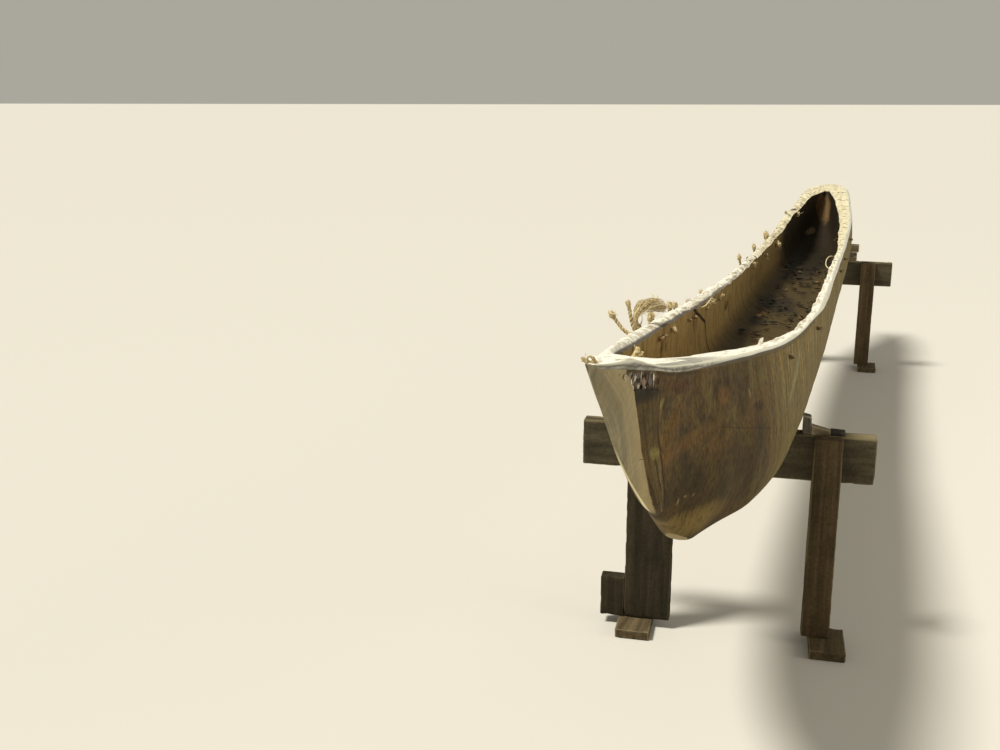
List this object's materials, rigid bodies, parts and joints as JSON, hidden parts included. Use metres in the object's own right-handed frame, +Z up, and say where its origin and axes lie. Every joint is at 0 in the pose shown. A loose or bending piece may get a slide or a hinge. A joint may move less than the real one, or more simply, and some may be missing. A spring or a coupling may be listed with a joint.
{
  "type": "outrigger canoe hull on trestles",
  "caption": "Old dugout hull of an outrigger canoe, hollowed from one log, bare of float and booms, resting level on timber trestles with wedges beside it.",
  "frame": {"origin": "on the floor, under the middle of the hull's length and of the trestle beams", "axes": "+X along the hull to the bow, +Y to port, +Z up"},
  "size_m": [6.156, 0.8614, 1.2147],
  "materials": {
    "hull_wood": "weathered bare timber, dark brown sides with a bleached rim",
    "strip_wood": "weathered olive brown strip let into the bow",
    "sennit": "frayed coconut fibre cord",
    "trestle_wood": "rough sawn softwood, grey and dusty",
    "chock_wood": "fresh split offcuts"
  },
  "bodies": {
    "root": {"hull": "hull_wood", "bow_strip": "strip_wood", "lashing_starboard_1": "sennit", "lashing_starboard_2": "sennit", "lashing_starboard_3": "sennit", "lashing_starboard_4": "sennit", "lashing_starboard_5": "sennit", "lashing_starboard_6": "sennit", "lashing_starboard_7": "sennit", "lashing_starboard_8": "sennit", "lashing_starboard_9": "sennit", "lashing_starboard_10": "sennit", "lashing_starboard_11": "sennit", "lashing_starboard_12": "sennit", "lashing_port_1": "sennit", "lashing_port_2": "sennit", "lashing_port_3": "sennit", "lashing_port_4": "sennit", "lashing_port_5": "sennit", "lashing_bow_deck": "sennit", "lashing_bow_tip": "sennit", "beam_near": "trestle_wood", "post_port_near": "trestle_wood", "sole_port_near": "trestle_wood", "post_starboard_near": "trestle_wood", "sole_starboard_near": "trestle_wood", "cleat_starboard_near": "trestle_wood", "chock_near_port": "chock_wood", "wedge_near_port": "chock_wood", "offcut_near_port": "chock_wood", "wedge_near_starboard": "chock_wood", "beam_far": "trestle_wood", "post_port_far": "trestle_wood", "sole_port_far": "trestle_wood", "post_starboard_far": "trestle_wood", "sole_starboard_far": "trestle_wood", "wedge_far_port": "chock_wood", "spacer_far_port": "chock_wood", "block_far_port": "chock_wood", "wedge_far_starboard": "chock_wood"}
  },
  "joints": []
}
